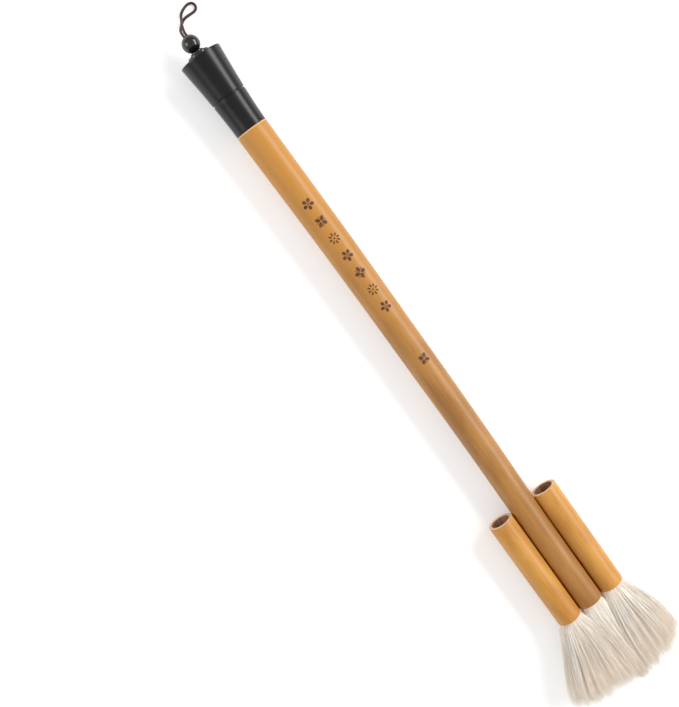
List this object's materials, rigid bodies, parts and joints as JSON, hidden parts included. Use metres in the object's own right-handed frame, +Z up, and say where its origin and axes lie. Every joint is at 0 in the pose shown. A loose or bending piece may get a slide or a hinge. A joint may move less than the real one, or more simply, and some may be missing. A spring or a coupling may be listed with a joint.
{
  "type": "calligraphy brush",
  "caption": "Row brush with a long bamboo handle tube, short open side tubes, fanned goat-hair tufts that flex, a flared black cap, a bead and a hanging cord loop, lying flat.",
  "frame": {"origin": "on the table, under the middle of the brush measured without its cord loop", "axes": "+X along the brush towards the hair tips, +Y across the row of tubes, +Z up from the table the brush lies on"},
  "size_m": [0.3271, 0.0546, 0.0176],
  "materials": {
    "bamboo": "satin lacquered bamboo skin, honey tan, pale cut rims",
    "pin_bamboo": "raw split bamboo or light wood",
    "seam_glue": "dark amber glue",
    "root_resin": "set resin",
    "binding_thread": "fine wound thread",
    "goat_hair": "soft dry cream-white goat hair",
    "cap_black": "satin black turned cap",
    "finial_black": "polished black",
    "waxed_cord": "dark brown waxed twisted cord"
  },
  "bodies": {
    "brush": {"handle_tube": "bamboo", "left_tube": "bamboo", "right_tube": "bamboo", "upper_pin": "pin_bamboo", "lower_pin": "pin_bamboo", "left_glue_seam": "seam_glue", "right_glue_seam": "seam_glue", "left_root_plug": "root_resin", "middle_root_plug": "root_resin", "right_root_plug": "root_resin", "left_root_binding": "binding_thread", "middle_root_binding": "binding_thread", "right_root_binding": "binding_thread", "left_bound_roots": "goat_hair", "middle_bound_roots": "goat_hair", "right_bound_roots": "goat_hair", "cap_body": "cap_black", "cap_plug": "pin_bamboo", "top_button": "finial_black", "neck_ring": "finial_black", "cord_knot": "waxed_cord", "cord_stem": "waxed_cord"},
    "left_hair": {"left_tuft": "goat_hair"},
    "middle_hair": {"middle_tuft": "goat_hair"},
    "right_hair": {"right_tuft": "goat_hair"},
    "bead": {"bead": "finial_black"},
    "loop": {"hanging_loop": "waxed_cord"}
  },
  "joints": [
    {"name": "left_hair_flex", "type": "hinge", "parent": "brush", "child": "left_hair", "pos_m": [0.11931, -0.0075, 0.0088], "axis": [0, 1, 0], "range_deg": [-35, 35], "stiffness_Nm_per_rad": 0.06},
    {"name": "middle_hair_flex", "type": "hinge", "parent": "brush", "child": "middle_hair", "pos_m": [0.11931, 0.0037, 0.0088], "axis": [0, 1, 0], "range_deg": [-35, 35], "stiffness_Nm_per_rad": 0.06},
    {"name": "right_hair_flex", "type": "hinge", "parent": "brush", "child": "right_hair", "pos_m": [0.11931, 0.0149, 0.0088], "axis": [0, 1, 0], "range_deg": [-35, 35], "stiffness_Nm_per_rad": 0.06},
    {"name": "bead_spin", "type": "hinge", "parent": "brush", "child": "bead", "pos_m": [-0.15459, 0.0037, 0.0088], "axis": [-1, 0, 0], "continuous": true},
    {"name": "loop_swing", "type": "hinge", "parent": "brush", "child": "loop", "pos_m": [-0.15881, 0.0037, 0.0088], "axis": [0, 1, 0], "range_deg": [0, 90]}
  ]
}
